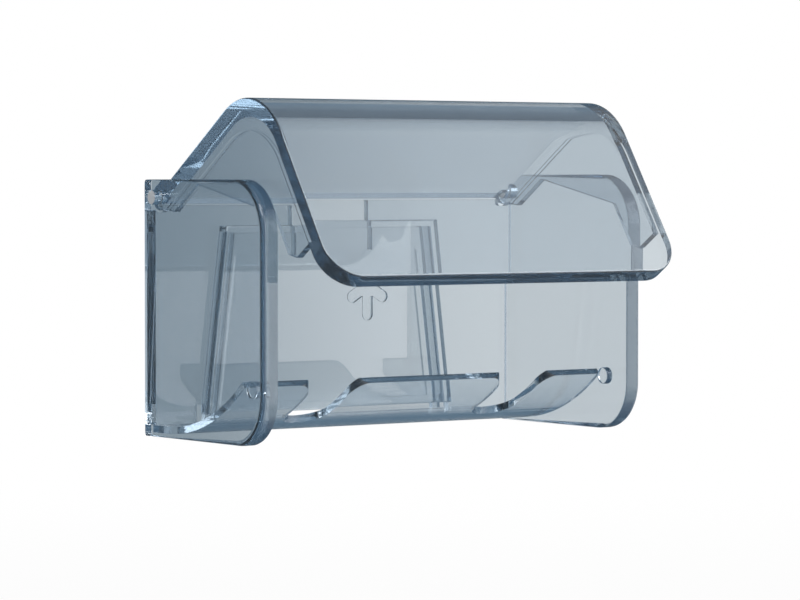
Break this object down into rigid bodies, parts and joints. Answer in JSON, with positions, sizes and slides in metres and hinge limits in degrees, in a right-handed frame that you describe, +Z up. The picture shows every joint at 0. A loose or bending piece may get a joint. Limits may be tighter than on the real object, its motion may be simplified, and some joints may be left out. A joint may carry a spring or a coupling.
{
  "type": "wall-mounted toothbrush holder",
  "caption": "Wall-mounted toothbrush holder in clear smoke plastic: hinged bent lid over a slotted curved rack between rounded cheeks, lifted off a wedge plate stuck to the wall.",
  "frame": {"origin": "middle of the adhesive pad's wall face", "axes": "+Z up, +X to the right for someone facing the wall, +Y into the wall; the holder stands out along -Y"},
  "size_m": [0.1, 0.0672, 0.0728],
  "materials": {
    "smoke_plastic": "polished, see-through blue grey",
    "pale_plastic": "polished, see-through, nearly colourless",
    "white_pad": "matte foam",
    "pin_plastic": "polished, see-through"
  },
  "bodies": {
    "wall_bracket": {"wall_plate": "pale_plastic", "adhesive_pad": "white_pad"},
    "housing": {"housing": "smoke_plastic", "toothbrush_rack": "smoke_plastic"},
    "lid": {"lid": "smoke_plastic", "hinge_pin_left": "pin_plastic", "hinge_pin_right": "pin_plastic"}
  },
  "joints": [
    {"name": "housing_lift", "type": "slide", "parent": "wall_bracket", "child": "housing", "axis": [0, 0, 1], "range_m": [0, 0.055]},
    {"name": "lid_hinge", "type": "hinge", "parent": "housing", "child": "lid", "pos_m": [0.003, -0.003, 0.02765], "axis": [-1, 0, 0], "range_deg": [-33.5, 54.5]}
  ]
}
